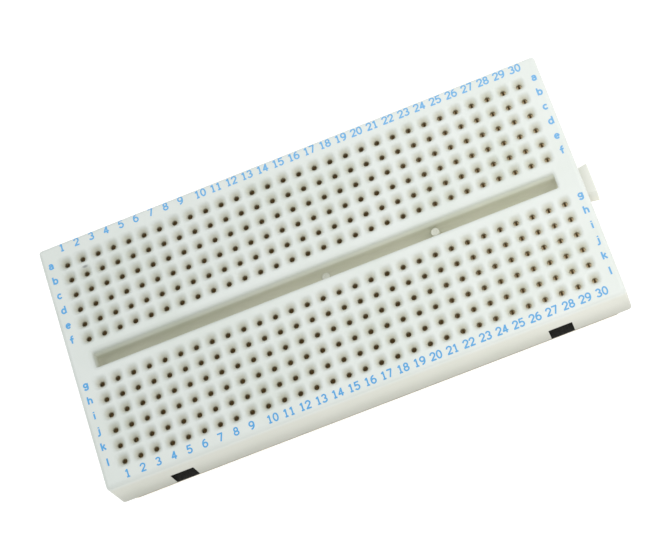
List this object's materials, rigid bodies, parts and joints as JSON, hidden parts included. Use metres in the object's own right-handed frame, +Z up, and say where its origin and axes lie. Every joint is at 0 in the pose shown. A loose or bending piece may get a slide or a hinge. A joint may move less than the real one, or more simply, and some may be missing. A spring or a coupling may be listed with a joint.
{
  "type": "solderless breadboard",
  "caption": "White solderless breadboard with two banks of square-funnel wire holes, a centre trough, spring contact clips, dovetail links and a foam backing with liner.",
  "frame": {"origin": "on the underside, below the middle of the hole grid", "axes": "+X along the columns from 1 to 30, +Y from row l at the front to row a at the back, +Z up out of the wire holes"},
  "size_m": [0.0825, 0.0417, 0.0085],
  "materials": {
    "white_plastic": "moulded, soft satin",
    "contact_metal": "plated spring strip",
    "black_foam": "closed-cell foam with adhesive on both faces",
    "liner_paper": "waxed paper"
  },
  "bodies": {
    "board": {"housing": "white_plastic", "foam_backing": "black_foam", "contact_clip_af_01": "contact_metal", "contact_clip_af_02": "contact_metal", "contact_clip_af_03": "contact_metal", "contact_clip_af_04": "contact_metal", "contact_clip_af_05": "contact_metal", "contact_clip_af_06": "contact_metal", "contact_clip_af_07": "contact_metal", "contact_clip_af_08": "contact_metal", "contact_clip_af_09": "contact_metal", "contact_clip_af_10": "contact_metal", "contact_clip_af_11": "contact_metal", "contact_clip_af_12": "contact_metal", "contact_clip_af_13": "contact_metal", "contact_clip_af_14": "contact_metal", "contact_clip_af_15": "contact_metal", "contact_clip_af_16": "contact_metal", "contact_clip_af_17": "contact_metal", "contact_clip_af_18": "contact_metal", "contact_clip_af_19": "contact_metal", "contact_clip_af_20": "contact_metal", "contact_clip_af_21": "contact_metal", "contact_clip_af_22": "contact_metal", "contact_clip_af_23": "contact_metal", "contact_clip_af_24": "contact_metal", "contact_clip_af_25": "contact_metal", "contact_clip_af_26": "contact_metal", "contact_clip_af_27": "contact_metal", "contact_clip_af_28": "contact_metal", "contact_clip_af_29": "contact_metal", "contact_clip_af_30": "contact_metal", "contact_clip_gl_01": "contact_metal", "contact_clip_gl_02": "contact_metal", "contact_clip_gl_03": "contact_metal", "contact_clip_gl_04": "contact_metal", "contact_clip_gl_05": "contact_metal", "contact_clip_gl_06": "contact_metal", "contact_clip_gl_07": "contact_metal", "contact_clip_gl_08": "contact_metal", "contact_clip_gl_09": "contact_metal", "contact_clip_gl_10": "contact_metal", "contact_clip_gl_11": "contact_metal", "contact_clip_gl_12": "contact_metal", "contact_clip_gl_13": "contact_metal", "contact_clip_gl_14": "contact_metal", "contact_clip_gl_15": "contact_metal", "contact_clip_gl_16": "contact_metal", "contact_clip_gl_17": "contact_metal", "contact_clip_gl_18": "contact_metal", "contact_clip_gl_19": "contact_metal", "contact_clip_gl_20": "contact_metal", "contact_clip_gl_21": "contact_metal", "contact_clip_gl_22": "contact_metal", "contact_clip_gl_23": "contact_metal", "contact_clip_gl_24": "contact_metal", "contact_clip_gl_25": "contact_metal", "contact_clip_gl_26": "contact_metal", "contact_clip_gl_27": "contact_metal"},
    "liner": {"release_liner": "liner_paper"}
  },
  "joints": [
    {"name": "liner_peel", "type": "slide", "parent": "board", "child": "liner", "axis": [1, 0, 0], "range_m": [0, 0.0806]}
  ]
}
